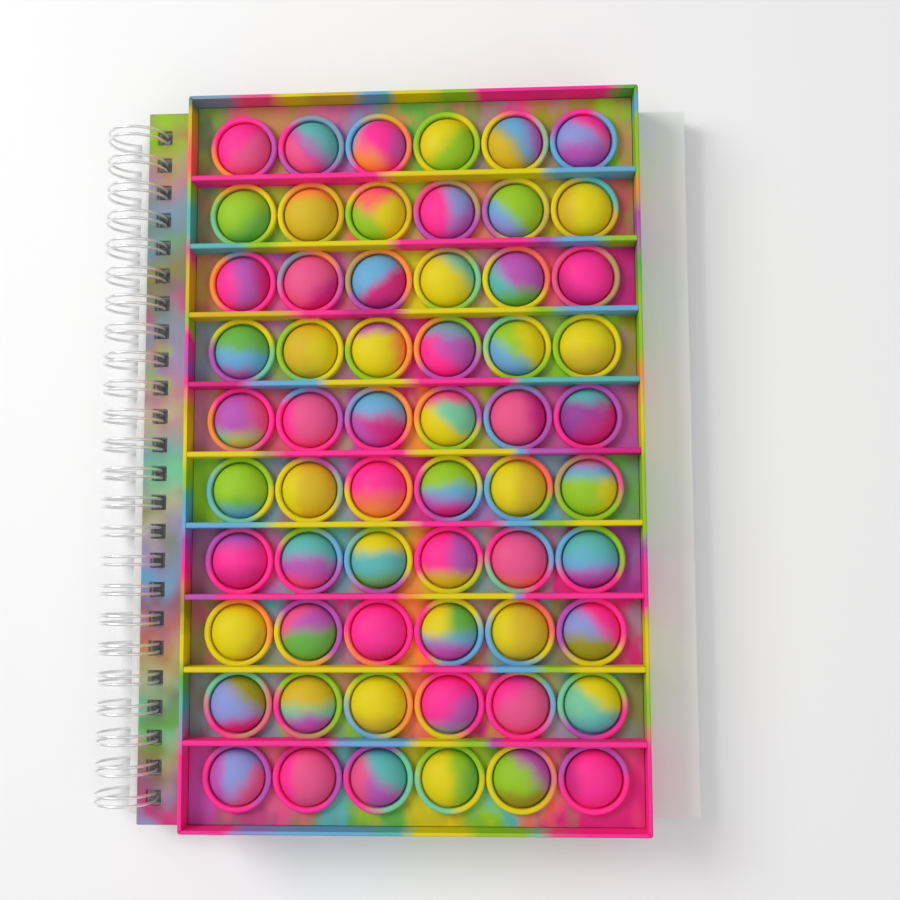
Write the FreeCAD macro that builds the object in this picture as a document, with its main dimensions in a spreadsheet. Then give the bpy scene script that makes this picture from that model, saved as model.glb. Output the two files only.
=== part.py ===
# Pop-bubble notebook: a silicone bubble tray is the front cover of a twin-loop wire notebook.
# X runs from the spine to the fore edge, Y up the page, Z off the table. Sizes in millimetres.
import FreeCAD, Part
import math
import os
import Sketcher

doc = FreeCAD.newDocument("PopNotebook")
sheet = doc.addObject("Spreadsheet::Sheet", "Sizes")

# name, size, what it is
drivingSizes = [
    ("ringOuter", 18.0, "outside diameter of the closed wire ring"),
    ("wireDiameter", 0.9, "wire thickness"),
    ("loopPitch", 8.4667, "three loops to the inch"),
    ("twinSpacing", 2.3, "between the two wires of one loop"),
    ("barBend", 1.2, "bend radius where a loop leaves the spine bar"),
    ("barStub", 1.6, "bar left beyond the end loops"),
    ("seamAngle", 297.5, "where the ring closes, degrees round from +X"),
    ("seamHalf", 12.5, "half the open angle at the seam, degrees"),
    ("holeClearance", 0.55, "square hole beyond the two wires, each side"),
    ("punchInset", 4.0, "least distance from a leaf's head or foot to a hole centre"),
    ("tableGap", 2.0, "table to the back cover, over the bottom of the wire"),
    ("backThickness", 1.2, "back cover board"),
    ("backLeafThickness", 2.0, "leaves that stay on the back cover"),
    ("middleLeafThickness", 1.4, "middle leaves"),
    ("frontLeafThickness", 1.3, "front leaves"),
    ("leafGap", 0.1, "air between leaf groups"),
    ("coverGap", 0.2, "air under the silicone cover"),
    ("leafMargin", 6.5, "spine edge of a leaf to its hole centres"),
    ("leafInset", 2.5, "leaf inside the cover at the head and foot"),
    ("leafShow", 15.46, "leaves beyond the tray at the fore edge"),
    ("boardExtra", 0.6, "back cover beyond the leaves at the fore edge, head and foot"),
    ("flangeMargin", 4.9, "spine edge of the silicone flange to its hole centres"),
    ("flangeWidth", 16.2, "flange from its spine edge to the tray"),
    ("flangeExtra", 0.9, "flange beyond the tray at the head and foot"),
    ("flangeThickness", 2.0, "flange"),
    ("trayHeight", 17.1, "tray wall, from the leaves to the rim"),
    ("wellDepth", 6.7, "rim down to the tray floor"),
    ("wallThickness", 1.8, "tray wall"),
    ("cornerRadius", 0.8, "tray outer corners"),
    ("floorThickness", 1.2, "tray floor"),
    ("ribThickness", 1.6, "rib between two rows"),
    ("sideSpace", 3.75, "tray wall to the first and last collar of a row"),
    ("endSpace", 3.05, "tray wall to the first and last row's collars"),
    ("rowCount", 10, "rows of bubbles"),
    ("columnCount", 6, "bubbles in a row"),
    ("rowGap", 0.5, "between the collars of two rows"),
    ("columnGap", 0.3, "between two collars in a row"),
    ("collarWall", 1.6, "collar ring"),
    ("collarHeight", 2.3, "collar above the tray floor"),
    ("domeClearance", 0.3, "bubble edge to its bore, all round"),
    ("domeDiameter", 15.6, "bubble outside"),
    ("domeRise", 5.0, "bubble above its own edge"),
    ("domeWall", 1.0, "bubble skin"),
    ("domeLift", 1.0, "bubble edge above the tray floor at rest"),
]

# what fits, lines up or passes through follows from the sizes above
derivedSizes = [
    ("collarInner", "=domeDiameter + 2 * domeClearance"),
    ("collarOuter", "=collarInner + 2 * collarWall"),
    ("columnPitch", "=collarOuter + columnGap"),
    ("rowPitch", "=collarOuter + rowGap"),
    ("columnRun", "=(columnCount - 1) * columnPitch"),
    ("rowRun", "=(rowCount - 1) * rowPitch"),
    ("wellWidth", "=columnRun + collarOuter + 2 * sideSpace"),
    ("wellLength", "=rowRun + collarOuter + 2 * endSpace"),
    ("trayWidth", "=wellWidth + 2 * wallThickness"),
    ("trayLength", "=wellLength + 2 * wallThickness"),
    ("coverLength", "=trayLength + 2 * flangeExtra"),
    ("sheetHeight", "=coverLength - 2 * leafInset"),
    ("loopCount", "=floor((sheetHeight - 2 * punchInset) / loopPitch) + 1"),
    ("holeSize", "=twinSpacing + wireDiameter + 2 * holeClearance"),
    ("ringRadius", "=ringOuter / 2 - wireDiameter / 2"),
    ("axisHeight", "=ringOuter / 2"),
    ("backBottom", "=tableGap"),
    ("backLeafBottom", "=backBottom + backThickness"),
    ("middleLeafBottom", "=backLeafBottom + backLeafThickness + leafGap"),
    ("frontLeafBottom", "=middleLeafBottom + middleLeafThickness + leafGap"),
    ("coverBottom", "=frontLeafBottom + frontLeafThickness + coverGap"),
    ("backDrop", "=axisHeight - backBottom - backThickness / 2"),
    ("backLeafDrop", "=axisHeight - backLeafBottom - backLeafThickness / 2"),
    ("middleLeafDrop", "=axisHeight - middleLeafBottom - middleLeafThickness / 2"),
    ("frontLeafDrop", "=axisHeight - frontLeafBottom - frontLeafThickness / 2"),
    ("coverDrop", "=axisHeight - coverBottom - flangeThickness / 2"),
    ("backReach", "=sqrt(ringRadius * ringRadius - backDrop * backDrop)"),
    ("backLeafReach", "=sqrt(ringRadius * ringRadius - backLeafDrop * backLeafDrop)"),
    ("middleLeafReach", "=sqrt(ringRadius * ringRadius - middleLeafDrop * middleLeafDrop)"),
    ("frontLeafReach", "=sqrt(ringRadius * ringRadius - frontLeafDrop * frontLeafDrop)"),
    ("coverReach", "=sqrt(ringRadius * ringRadius - coverDrop * coverDrop)"),
    ("coverWidth", "=flangeWidth + trayWidth"),
    ("coverLead", "=coverReach - flangeMargin - frontLeafReach + leafMargin"),
    ("sheetWidth", "=coverLead + coverWidth + leafShow"),
    ("axisAcross", "=(ringOuter / 2 - frontLeafReach + leafMargin - sheetWidth) / 2"),
    ("backAcross", "=axisAcross + backReach - leafMargin"),
    ("backLeafAcross", "=axisAcross + backLeafReach - leafMargin"),
    ("middleLeafAcross", "=axisAcross + middleLeafReach - leafMargin"),
    ("frontLeafAcross", "=axisAcross + frontLeafReach - leafMargin"),
    ("coverAcross", "=axisAcross + coverReach - flangeMargin"),
    ("boardWidth", "=sheetWidth + boardExtra"),
    ("boardHeight", "=sheetHeight + 2 * boardExtra"),
    ("leafHoleStart", "=leafMargin - holeSize / 2"),
    ("flangeHoleStart", "=flangeMargin - holeSize / 2"),
    ("holeRun", "=(loopCount - 1) * loopPitch"),
    ("holeFirst", "=-holeRun / 2"),
    ("flangeReach", "=flangeWidth + wallThickness / 2"),
    ("wellStart", "=flangeWidth + wallThickness"),
    ("wellCorner", "=cornerRadius / 2"),
    ("floorTop", "=trayHeight - wellDepth"),
    ("cavityDepth", "=floorTop - floorThickness"),
    ("ribLength", "=trayWidth - wallThickness"),
    ("ribRun", "=(rowCount - 2) * rowPitch"),
    ("ribFirst", "=-ribRun / 2"),
    ("ribCount", "=rowCount - 1"),
    ("rowFirst", "=-rowRun / 2"),
    ("columnFirst", "=wellStart + sideSpace + collarOuter / 2"),
    ("collarTop", "=floorTop + collarHeight"),
    ("boreDepth", "=collarHeight + floorThickness"),
    ("domeBottom", "=coverBottom + floorTop + domeLift"),
    ("domeAcross", "=coverAcross + columnFirst"),
    ("domeRadius", "=domeDiameter / 2"),
    ("domeInnerRise", "=domeRise - domeWall"),
]

sheetRow = 1
for alias, size, meaning in drivingSizes:
    sheet.set("A" + str(sheetRow), alias)
    sheet.set("B" + str(sheetRow), str(size))
    sheet.set("C" + str(sheetRow), meaning)
    sheet.setAlias("B" + str(sheetRow), alias)
    sheetRow = sheetRow + 1
doc.recompute()
for alias, formula in derivedSizes:
    sheet.set("A" + str(sheetRow), alias)
    sheet.set("B" + str(sheetRow), formula)
    sheet.setAlias("B" + str(sheetRow), alias)
    sheetRow = sheetRow + 1
doc.recompute()


def sizeOf(alias):
    return float(sheet.get(alias))


def bind(thing, target, formula):
    # formula names sheet sizes as {alias}
    words = formula.replace("{", "Sizes.").replace("}", "")
    thing.setExpression(target, words)


def originFeature(body, role):
    for feature in body.Origin.OriginFeatures:
        if feature.Role == role:
            return feature
    raise ValueError("no origin feature called " + role)


def newBody(label, across, up, along=None):
    body = doc.addObject("PartDesign::Body", label)
    body.Label = label
    bind(body, "Placement.Base.x", across)
    bind(body, "Placement.Base.z", up)
    if along:
        bind(body, "Placement.Base.y", along)
    return body


def newSketch(body, name, role, across=None, along=None, up=None):
    sketch = body.newObject("Sketcher::SketchObject", name)
    sketch.AttachmentSupport = (originFeature(body, role), [""])
    sketch.MapMode = "FlatFace"
    if across:
        bind(sketch, "AttachmentOffset.Base.x", across)
    if along:
        bind(sketch, "AttachmentOffset.Base.y", along)
    if up:
        bind(sketch, "AttachmentOffset.Base.z", up)
    return sketch


def dimension(sketch, constraint, name, alias):
    index = sketch.addConstraint(constraint)
    sketch.renameConstraint(index, name)
    bind(sketch, "Constraints." + name, "{" + alias + "}")


def corner(across, along):
    return FreeCAD.Vector(across, along, 0)


def drawRectangle(sketch, start, width, height):
    # plain rectangle, even about the sketch's own X axis
    left = sizeOf(start) if start else 0.0
    right = left + sizeOf(width)
    half = sizeOf(height) / 2
    spots = [corner(left, -half), corner(right, -half), corner(right, half), corner(left, half)]
    for index in range(4):
        sketch.addGeometry(Part.LineSegment(spots[index], spots[(index + 1) % 4]), False)
    for index in range(4):
        sketch.addConstraint(Sketcher.Constraint("Coincident", index, 2, (index + 1) % 4, 1))
    sketch.addConstraint(Sketcher.Constraint("Horizontal", 0))
    sketch.addConstraint(Sketcher.Constraint("Vertical", 1))
    sketch.addConstraint(Sketcher.Constraint("Horizontal", 2))
    sketch.addConstraint(Sketcher.Constraint("Symmetric", 3, 1, 3, 2, -1))
    if start:
        dimension(sketch, Sketcher.Constraint("DistanceX", -1, 1, 0, 1, left), "start", start)
    else:
        sketch.addConstraint(Sketcher.Constraint("PointOnObject", 0, 1, -2))
    dimension(sketch, Sketcher.Constraint("DistanceX", 0, 1, 0, 2, right - left), "width", width)
    dimension(sketch, Sketcher.Constraint("DistanceY", 1, 1, 1, 2, 2 * half), "height", height)


def drawRoundedRectangle(sketch, start, width, height, radius):
    left = sizeOf(start)
    right = left + sizeOf(width)
    half = sizeOf(height) / 2
    bend = sizeOf(radius)
    sketch.addGeometry(Part.LineSegment(corner(left + bend, -half), corner(right - bend, -half)), False)
    sketch.addGeometry(Part.LineSegment(corner(right, bend - half), corner(right, half - bend)), False)
    sketch.addGeometry(Part.LineSegment(corner(right - bend, half), corner(left + bend, half)), False)
    sketch.addGeometry(Part.LineSegment(corner(left, half - bend), corner(left, bend - half)), False)
    centres = [
        corner(right - bend, bend - half),
        corner(right - bend, half - bend),
        corner(left + bend, half - bend),
        corner(left + bend, bend - half),
    ]
    for index in range(4):
        circle = Part.Circle(centres[index], FreeCAD.Vector(0, 0, 1), bend)
        first = math.radians(90 * (index - 1))
        last = math.radians(90 * index)
        sketch.addGeometry(Part.ArcOfCircle(circle, first, last), False)
    for index in range(4):
        sketch.addConstraint(Sketcher.Constraint("Tangent", index, 2, 4 + index, 1))
        sketch.addConstraint(Sketcher.Constraint("Tangent", 4 + index, 2, (index + 1) % 4, 1))
    for index in range(3):
        sketch.addConstraint(Sketcher.Constraint("Equal", 4, 5 + index))
    sketch.addConstraint(Sketcher.Constraint("Horizontal", 0))
    sketch.addConstraint(Sketcher.Constraint("Vertical", 1))
    sketch.addConstraint(Sketcher.Constraint("Horizontal", 2))
    sketch.addConstraint(Sketcher.Constraint("Symmetric", 3, 1, 3, 2, -1))
    dimension(sketch, Sketcher.Constraint("DistanceX", -1, 1, 3, 1, left), "start", start)
    dimension(sketch, Sketcher.Constraint("DistanceX", 3, 1, 1, 1, right - left), "width", width)
    dimension(sketch, Sketcher.Constraint("DistanceY", 0, 1, 2, 1, 2 * half), "height", height)
    dimension(sketch, Sketcher.Constraint("Radius", 4, bend), "bend", radius)


def drawCircle(sketch, diameter):
    circle = Part.Circle(corner(0, 0), FreeCAD.Vector(0, 0, 1), sizeOf(diameter) / 2)
    sketch.addGeometry(circle, False)
    sketch.addConstraint(Sketcher.Constraint("Coincident", 0, 3, -1, 1))
    dimension(sketch, Sketcher.Constraint("Diameter", 0, sizeOf(diameter)), "across", diameter)


def addPad(body, name, sketch, length):
    pad = body.newObject("PartDesign::Pad", name)
    pad.Profile = sketch
    bind(pad, "Length", length)
    sketch.Visibility = False
    return pad


def addPocket(body, name, sketch, length, upward=False):
    # down from the sketch plane, or up where upward is set
    pocket = body.newObject("PartDesign::Pocket", name)
    pocket.Profile = sketch
    pocket.Reversed = upward
    bind(pocket, "Length", length)
    sketch.Visibility = False
    return pocket


def addRow(body, name, feature, sketch, run, count):
    pattern = body.newObject("PartDesign::LinearPattern", name)
    pattern.Originals = [feature]
    pattern.Direction = (sketch, ["V_Axis"])
    bind(pattern, "Length", run)
    bind(pattern, "Occurrences", count)
    body.Tip = pattern
    return pattern


def addGrid(body, name, feature, sketch):
    # every bubble place: along the row, then row by row
    grid = body.newObject("PartDesign::MultiTransform", name)
    grid.Originals = [feature]
    alongRow = doc.addObject("PartDesign::LinearPattern", name + "AlongRow")
    alongRow.Direction = (sketch, ["H_Axis"])
    bind(alongRow, "Length", "{columnRun}")
    bind(alongRow, "Occurrences", "{columnCount}")
    rowByRow = doc.addObject("PartDesign::LinearPattern", name + "RowByRow")
    rowByRow.Direction = (sketch, ["V_Axis"])
    bind(rowByRow, "Length", "{rowRun}")
    bind(rowByRow, "Occurrences", "{rowCount}")
    grid.Transformations = [alongRow, rowByRow]
    body.Tip = grid
    return grid


def makeSheetBody(label, across, up, width, height, thickness):
    # board or block of leaves with its punched row
    body = newBody(label, across, up)
    outline = newSketch(body, label + "_outline", "XY_Plane")
    drawRectangle(outline, None, width, height)
    addPad(body, label + "_slab", outline, thickness)
    punch = newSketch(body, label + "_punch", "XY_Plane", None, "{holeFirst}", thickness)
    drawRectangle(punch, "leafHoleStart", "holeSize", "holeSize")
    hole = addPocket(body, label + "_hole", punch, thickness)
    addRow(body, label + "_holes", hole, punch, "{holeRun}", "{loopCount}")
    doc.recompute()
    return body


makeSheetBody("back_cover", "{backAcross}", "{backBottom}",
              "boardWidth", "boardHeight", "{backThickness}")
makeSheetBody("back_leaves", "{backLeafAcross}", "{backLeafBottom}",
              "sheetWidth", "sheetHeight", "{backLeafThickness}")
makeSheetBody("middle_leaves", "{middleLeafAcross}", "{middleLeafBottom}",
              "sheetWidth", "sheetHeight", "{middleLeafThickness}")
makeSheetBody("front_leaves", "{frontLeafAcross}", "{frontLeafBottom}",
              "sheetWidth", "sheetHeight", "{frontLeafThickness}")

# silicone cover: flange, tray, ribs, collars and bores
cover = newBody("popper_cover", "{coverAcross}", "{coverBottom}")
trayOutline = newSketch(cover, "tray_outline", "XY_Plane")
drawRoundedRectangle(trayOutline, "flangeWidth", "trayWidth", "trayLength", "cornerRadius")
addPad(cover, "tray_block", trayOutline, "{trayHeight}")
wellOutline = newSketch(cover, "well_outline", "XY_Plane", None, None, "{trayHeight}")
drawRoundedRectangle(wellOutline, "wellStart", "wellWidth", "wellLength", "wellCorner")
addPocket(cover, "well", wellOutline, "{wellDepth}")
cavityOutline = newSketch(cover, "cavity_outline", "XY_Plane")
drawRoundedRectangle(cavityOutline, "wellStart", "wellWidth", "wellLength", "wellCorner")
addPocket(cover, "cavity", cavityOutline, "{cavityDepth}", True)
flangeOutline = newSketch(cover, "flange_outline", "XY_Plane")
drawRectangle(flangeOutline, None, "flangeReach", "coverLength")
addPad(cover, "flange", flangeOutline, "{flangeThickness}")
doc.recompute()
ribOutline = newSketch(cover, "rib_outline", "XY_Plane", None, "{ribFirst}", "{floorTop}")
drawRectangle(ribOutline, "flangeReach", "ribLength", "ribThickness")
rib = addPad(cover, "rib", ribOutline, "{wellDepth}")
addRow(cover, "ribs", rib, ribOutline, "{ribRun}", "{ribCount}")
collarOutline = newSketch(cover, "collar_outline", "XY_Plane", "{columnFirst}", "{rowFirst}", "{floorTop}")
drawCircle(collarOutline, "collarOuter")
collar = addPad(cover, "collar", collarOutline, "{collarHeight}")
addGrid(cover, "collars", collar, collarOutline)
doc.recompute()
boreOutline = newSketch(cover, "bore_outline", "XY_Plane", "{columnFirst}", "{rowFirst}", "{collarTop}")
drawCircle(boreOutline, "collarInner")
bore = addPocket(cover, "bore", boreOutline, "{boreDepth}")
addGrid(cover, "bores", bore, boreOutline)
doc.recompute()
flangePunch = newSketch(cover, "flange_punch", "XY_Plane", None, "{holeFirst}", "{flangeThickness}")
drawRectangle(flangePunch, "flangeHoleStart", "holeSize", "holeSize")
flangeHole = addPocket(cover, "flange_hole", flangePunch, "{flangeThickness}")
addRow(cover, "flange_holes", flangeHole, flangePunch, "{holeRun}", "{loopCount}")
doc.recompute()


def makeBubble(label, row, column, count):
    # thin dome shell; count bubbles side by side in the row
    across = "{domeAcross} + " + str(column - 1) + " * {columnPitch}"
    along = "-{rowFirst} - " + str(row - 1) + " * {rowPitch}"
    body = newBody(label, across, "{domeBottom}", along)
    body.AllowCompound = count > 1
    profile = newSketch(body, label + "_profile", "XZ_Plane")
    edge = sizeOf("domeRadius")
    rise = sizeOf("domeRise")
    skin = sizeOf("domeWall")
    ball = (edge * edge + rise * rise) / (2 * rise)
    sink = ball - rise
    inner = ball - skin
    innerEdge = math.sqrt(inner * inner - sink * sink)
    upAxis = FreeCAD.Vector(0, 0, 1)
    outerCircle = Part.Circle(corner(0, -sink), upAxis, ball)
    innerCircle = Part.Circle(corner(0, -sink), upAxis, inner)
    profile.addGeometry(Part.ArcOfCircle(outerCircle, math.atan2(sink, edge), math.pi / 2), False)
    profile.addGeometry(Part.ArcOfCircle(innerCircle, math.atan2(sink, innerEdge), math.pi / 2), False)
    profile.addGeometry(Part.LineSegment(corner(innerEdge, 0), corner(edge, 0)), False)
    profile.addGeometry(Part.LineSegment(corner(0, rise), corner(0, rise - skin)), False)
    profile.addConstraint(Sketcher.Constraint("Coincident", 2, 2, 0, 1))
    profile.addConstraint(Sketcher.Constraint("Coincident", 0, 2, 3, 1))
    profile.addConstraint(Sketcher.Constraint("Coincident", 3, 2, 1, 2))
    profile.addConstraint(Sketcher.Constraint("Coincident", 1, 1, 2, 1))
    profile.addConstraint(Sketcher.Constraint("Coincident", 0, 3, 1, 3))
    profile.addConstraint(Sketcher.Constraint("PointOnObject", 0, 3, -2))
    profile.addConstraint(Sketcher.Constraint("PointOnObject", 3, 1, -2))
    profile.addConstraint(Sketcher.Constraint("PointOnObject", 3, 2, -2))
    profile.addConstraint(Sketcher.Constraint("PointOnObject", 2, 1, -1))
    profile.addConstraint(Sketcher.Constraint("PointOnObject", 2, 2, -1))
    dimension(profile, Sketcher.Constraint("DistanceX", -1, 1, 0, 1, edge), "edge", "domeRadius")
    dimension(profile, Sketcher.Constraint("DistanceY", -1, 1, 3, 1, rise), "rise", "domeRise")
    dimension(profile, Sketcher.Constraint("DistanceY", -1, 1, 3, 2, rise - skin), "inside", "domeInnerRise")
    dome = body.newObject("PartDesign::Revolution", label + "_dome")
    dome.Profile = profile
    dome.ReferenceAxis = (profile, ["V_Axis"])
    dome.Angle = 360
    profile.Visibility = False
    if count > 1:
        pair = body.newObject("PartDesign::LinearPattern", label + "_pair")
        pair.Originals = [dome]
        pair.Direction = (profile, ["H_Axis"])
        bind(pair, "Length", str(count - 1) + " * {columnPitch}")
        pair.Occurrences = count
        body.Tip = pair
    return body


# the last two bubbles of the rows named here are drawn as one pair
pairedRows = [3, 4, 5, 6, 7, 8]
bubbleCount = 0
for row in range(1, int(sizeOf("rowCount")) + 1):
    singles = 4 if row in pairedRows else 6
    for column in range(1, singles + 1):
        makeBubble("bubble_" + str(row) + "_" + str(column), row, column, 1)
        bubbleCount = bubbleCount + 1
    if row in pairedRows:
        makeBubble("bubble_" + str(row) + "_5_6", row, 5, 2)
        bubbleCount = bubbleCount + 1
doc.recompute()


def makeWireShape():
    # one continuous wire: bar, over the top of the ring, hairpin tip, back over, next bar
    radius = sizeOf("ringRadius")
    bend = sizeOf("barBend")
    half = sizeOf("twinSpacing") / 2
    pitch = sizeOf("loopPitch")
    loops = int(round(sizeOf("loopCount")))
    stub = sizeOf("barStub")
    first = math.radians(sizeOf("seamAngle") - sizeOf("seamHalf"))
    last = math.radians(sizeOf("seamAngle") + sizeOf("seamHalf") - 360)
    middle = (first + last) / 2

    def onRing(angle, along):
        return FreeCAD.Vector(radius * math.cos(angle), along, radius * math.sin(angle))

    def heading(angle):
        return FreeCAD.Vector(math.sin(angle), 0, -math.cos(angle))

    rear = heading(first) * -1
    downPage = FreeCAD.Vector(0, -1, 0)
    barSpot = onRing(first, 0) + rear * bend
    edges = []
    top = (loops - 1) * pitch / 2
    lineStart = barSpot + FreeCAD.Vector(0, top + half + bend + stub, 0)
    for loop in range(loops):
        centre = top - loop * pitch
        upper = centre + half
        lower = centre - half
        barIn = barSpot + FreeCAD.Vector(0, upper + bend, 0)
        barOut = barSpot + FreeCAD.Vector(0, lower - bend, 0)
        slant = (rear + downPage) * (bend / math.sqrt(2))
        bendIn = onRing(first, upper + bend) + slant
        slant = (rear - downPage) * (bend / math.sqrt(2))
        bendOut = onRing(first, lower - bend) + slant
        tip = onRing(last, centre) + heading(last) * half
        edges.append(Part.LineSegment(lineStart, barIn).toShape())
        edges.append(Part.Arc(barIn, bendIn, onRing(first, upper)).toShape())
        edges.append(Part.Arc(onRing(first, upper), onRing(middle, upper), onRing(last, upper)).toShape())
        edges.append(Part.Arc(onRing(last, upper), tip, onRing(last, lower)).toShape())
        edges.append(Part.Arc(onRing(last, lower), onRing(middle, lower), onRing(first, lower)).toShape())
        edges.append(Part.Arc(onRing(first, lower), bendOut, barOut).toShape())
        lineStart = barOut
    lineEnd = lineStart + FreeCAD.Vector(0, -stub, 0)
    edges.append(Part.LineSegment(lineStart, lineEnd).toShape())
    path = Part.Wire(edges)
    mouth = edges[0].Vertexes[0].Point
    section = Part.makeCircle(sizeOf("wireDiameter") / 2, mouth, downPage)
    return path.makePipe(Part.Face(Part.Wire([section])))


wire = doc.addObject("Part::Feature", "wire_binding")
wire.Label = "wire_binding"
wire.Shape = makeWireShape()
bind(wire, "Placement.Base.x", "{axisAcross}")
bind(wire, "Placement.Base.z", "{axisHeight}")
doc.recompute()

# nothing is written unless every object is sound
for item in doc.Objects:
    if "Invalid" in item.State or "Error" in item.State:
        raise ValueError(item.Name + " did not build")

nodes = [item for item in doc.Objects if item.TypeId in ("PartDesign::Body", "Part::Feature")]
os.makedirs("parts", exist_ok=True)
for node in nodes:
    shape = node.Shape
    if shape.isNull() or not shape.isValid() or shape.Volume <= 0:
        raise ValueError(node.Label + " has no sound solid")
    shape.exportStep("parts/" + node.Label + ".step")
print("nodes written:", len(nodes), "bubble nodes:", bubbleCount)
for node in nodes:
    bounds = node.Shape.BoundBox
    low = "%.2f %.2f %.2f" % (bounds.XMin, bounds.YMin, bounds.ZMin)
    high = "%.2f %.2f %.2f" % (bounds.XMax, bounds.YMax, bounds.ZMax)
    print(node.Label, low, "to", high, "solids", len(node.Shape.Solids))
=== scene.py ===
# Pop-bubble notebook: the looks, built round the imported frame. Metres.
import math
import random
import bpy
from mathutils import Euler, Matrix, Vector


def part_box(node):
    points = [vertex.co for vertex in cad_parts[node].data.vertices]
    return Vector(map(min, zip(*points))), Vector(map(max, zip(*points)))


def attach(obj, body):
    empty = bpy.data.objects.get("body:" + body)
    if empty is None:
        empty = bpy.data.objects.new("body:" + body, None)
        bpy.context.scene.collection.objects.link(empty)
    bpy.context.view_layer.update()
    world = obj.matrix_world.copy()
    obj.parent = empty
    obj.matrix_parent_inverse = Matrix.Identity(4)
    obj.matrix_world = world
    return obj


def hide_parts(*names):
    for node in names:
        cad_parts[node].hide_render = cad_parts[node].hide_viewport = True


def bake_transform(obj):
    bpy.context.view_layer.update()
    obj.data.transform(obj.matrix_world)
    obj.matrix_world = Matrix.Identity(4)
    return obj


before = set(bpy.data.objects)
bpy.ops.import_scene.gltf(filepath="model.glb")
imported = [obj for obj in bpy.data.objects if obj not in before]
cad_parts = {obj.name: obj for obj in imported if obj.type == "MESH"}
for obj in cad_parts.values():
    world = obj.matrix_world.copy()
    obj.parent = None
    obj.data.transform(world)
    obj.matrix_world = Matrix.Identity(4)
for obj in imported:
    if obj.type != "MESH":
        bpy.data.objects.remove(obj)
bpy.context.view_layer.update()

# one swatch per silicone colour, 0 to 255
swatches = {
    "pink": (255, 46, 150),
    "rose": (234, 84, 138),
    "magenta": (212, 34, 128),
    "yellow": (226, 208, 8),
    "golden": (214, 180, 30),
    "lime": (150, 198, 34),
    "green": (104, 176, 70),
    "mint": (120, 200, 158),
    "teal": (92, 182, 180),
    "blue": (104, 172, 214),
    "periwinkle": (140, 150, 214),
    "mauve": (186, 84, 178),
    "purple": (150, 62, 150),
    "orange": (248, 146, 62),
    "coral": (250, 108, 92),
    "tan": (188, 152, 104),
    "steel": (128, 156, 180),
    "olive": (158, 148, 26),
    "dusk": (150, 104, 126),
    "moss": (142, 136, 80),
    "sage": (118, 142, 108),
    "ochre": (182, 150, 76),
    "brick": (190, 98, 92),
    "sand": (190, 184, 150),
    "dustyRose": (188, 138, 150),
    "lilac": (160, 145, 184),
    "slate": (130, 150, 164),
}


def linear(name):
    # sRGB swatch to the linear colour that a shader takes
    channels = []
    for part in swatches[name]:
        part = part / 255
        channels.append(part / 12.92 if part <= 0.04045 else ((part + 0.055) / 1.055) ** 2.4)
    return (channels[0], channels[1], channels[2], 1.0)


class Flow:
    # one shader socket; expressions on it add Math nodes
    def __init__(self, recipe, socket):
        self.recipe = recipe
        self.socket = socket

    def calc(self, operation, first, second=None):
        sockets = {0: first} if second is None else {0: first, 1: second}
        return self.recipe.add("ShaderNodeMath", {"operation": operation}, sockets).out()

    def __add__(self, other):
        return self.calc("ADD", self, other)

    __radd__ = __add__

    def __sub__(self, other):
        return self.calc("SUBTRACT", self, other)

    def __rsub__(self, other):
        return self.calc("SUBTRACT", other, self)

    def __mul__(self, other):
        return self.calc("MULTIPLY", self, other)

    __rmul__ = __mul__

    def __truediv__(self, other):
        return self.calc("DIVIDE", self, other)


class Added:
    # a node just added, and its outputs
    def __init__(self, recipe, node):
        self.recipe = recipe
        self.node = node

    def out(self, key=0):
        return Flow(self.recipe, findSocket(self.node.outputs, key))


def findSocket(sockets, key):
    if isinstance(key, int):
        return sockets[key]
    for socket in sockets:
        if key in (socket.identifier, socket.name):
            return socket
    raise KeyError(key)


class Recipe:
    # a node material being written
    def __init__(self, name):
        self.material = bpy.data.materials.new(name)
        self.material.use_nodes = True
        self.tree = self.material.node_tree
        self.tree.nodes.clear()
        self.result = self.tree.nodes.new("ShaderNodeOutputMaterial")

    def add(self, kind, settings=None, sockets=None):
        node = self.tree.nodes.new(kind)
        for key, value in (settings or {}).items():
            if key == "stops":
                self.setStops(node.color_ramp, value)
            else:
                setattr(node, key, value)
        for key, value in (sockets or {}).items():
            target = findSocket(node.inputs, key)
            if isinstance(value, Flow):
                self.tree.links.new(value.socket, target)
            else:
                target.default_value = value
        return Added(self, node)

    def setStops(self, ramp, stops):
        while len(ramp.elements) < len(stops):
            ramp.elements.new(1.0)
        for element, (place, colour) in zip(ramp.elements, stops):
            element.position = place
            element.color = colour

    def mixColour(self, mask, first, second):
        sockets = {"Factor_Float": mask, "A_Color": first, "B_Color": second}
        return self.add("ShaderNodeMix", {"data_type": "RGBA"}, sockets).out("Result_Color")

    def step(self, value, low, high):
        # smooth 0 to 1 as value passes from low to high
        sockets = {"Value": value, "From Min": low, "From Max": high}
        return self.add("ShaderNodeMapRange", {"interpolation_type": "SMOOTHSTEP"}, sockets).out()

    def noise(self, spot, scale, detail=2.0):
        return self.add("ShaderNodeTexNoise", {}, {"Vector": spot, "Scale": scale, "Detail": detail}).out(0)

    def bump(self, height, strength, distance):
        sockets = {"Height": height, "Strength": strength, "Distance": distance}
        return self.add("ShaderNodeBump", {}, sockets).out()

    def vector(self, operation, first, second):
        return self.add("ShaderNodeVectorMath", {"operation": operation}, {0: first, 1: second}).out()

    def spot(self, name):
        # a point attribute laid down when the mesh was made
        return self.add("ShaderNodeAttribute", {"attribute_name": name}).out("Vector")

    def split(self, vector):
        parts = self.add("ShaderNodeSeparateXYZ", {}, {0: vector})
        return parts.out(0), parts.out(1), parts.out(2)

    def surface(self, **sockets):
        named = {key.replace("_", " "): value for key, value in sockets.items()}
        shader = self.add("ShaderNodeBsdfPrincipled", {}, named)
        self.tree.links.new(shader.node.outputs[0], self.result.inputs["Surface"])
        return self.material


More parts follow.
